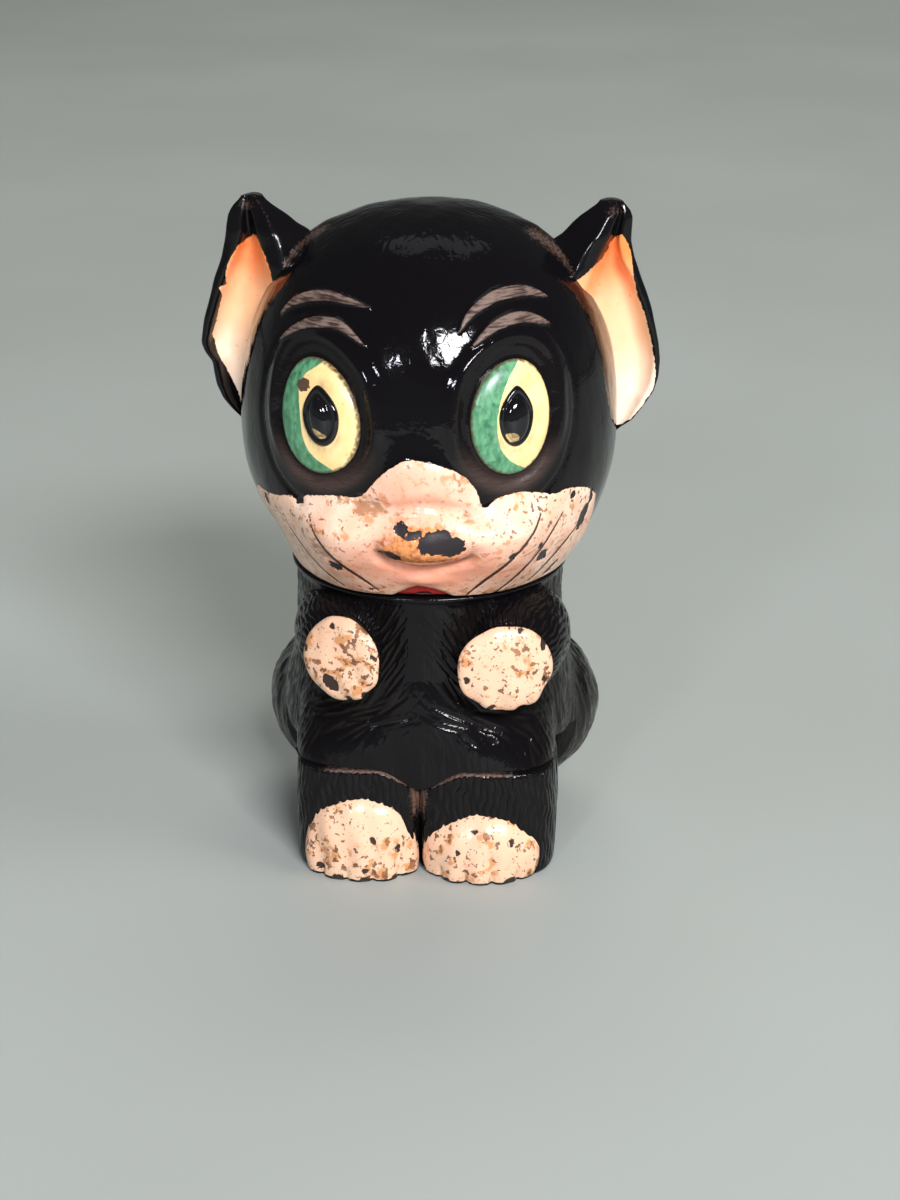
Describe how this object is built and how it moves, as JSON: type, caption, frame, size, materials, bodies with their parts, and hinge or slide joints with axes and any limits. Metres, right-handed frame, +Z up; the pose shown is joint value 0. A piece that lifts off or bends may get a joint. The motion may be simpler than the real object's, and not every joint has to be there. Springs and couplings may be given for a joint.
{
  "type": "lidded cat figure",
  "caption": "Small painted pottery cat, seated upright, made as a pot: its head is the lid, which turns and lifts off on a cork ring.",
  "frame": {"origin": "on the flat underside of the body, where the head's turning axis meets the table", "axes": "+Z up, the figure looks along -Y, +X is on the viewer's right"},
  "size_m": [0.062, 0.0544, 0.0885],
  "materials": {
    "black_enamel": "gloss black enamel over fired clay, worn brown on the ridges",
    "cream_enamel": "cream to peach enamel, chipped and speckled brown",
    "eye_enamel": "yellow and green enamel under a clear gloss",
    "cork": "raw pressed cork"
  },
  "bodies": {
    "body": {"body_shell": "black_enamel", "tail": "black_enamel", "left_hind_leg": "black_enamel", "right_hind_leg": "black_enamel", "left_foot": "cream_enamel", "right_foot": "cream_enamel", "left_foreleg": "black_enamel", "right_foreleg": "black_enamel", "left_paw": "cream_enamel", "right_paw": "cream_enamel"},
    "cork": {"cork_ring": "cork"},
    "head": {"head_shell": "black_enamel", "left_ear": "black_enamel", "right_ear": "black_enamel", "left_eye": "eye_enamel", "right_eye": "eye_enamel", "left_pupil": "black_enamel", "right_pupil": "black_enamel"}
  },
  "joints": [
    {"name": "cork_pull", "type": "slide", "parent": "body", "child": "cork", "axis": [0, 0, 1], "range_m": [0, 0.04]},
    {"name": "head_turn", "type": "hinge", "parent": "cork", "child": "head", "pos_m": [0, 0, 0.0375], "axis": [0, 0, 1], "continuous": true}
  ]
}
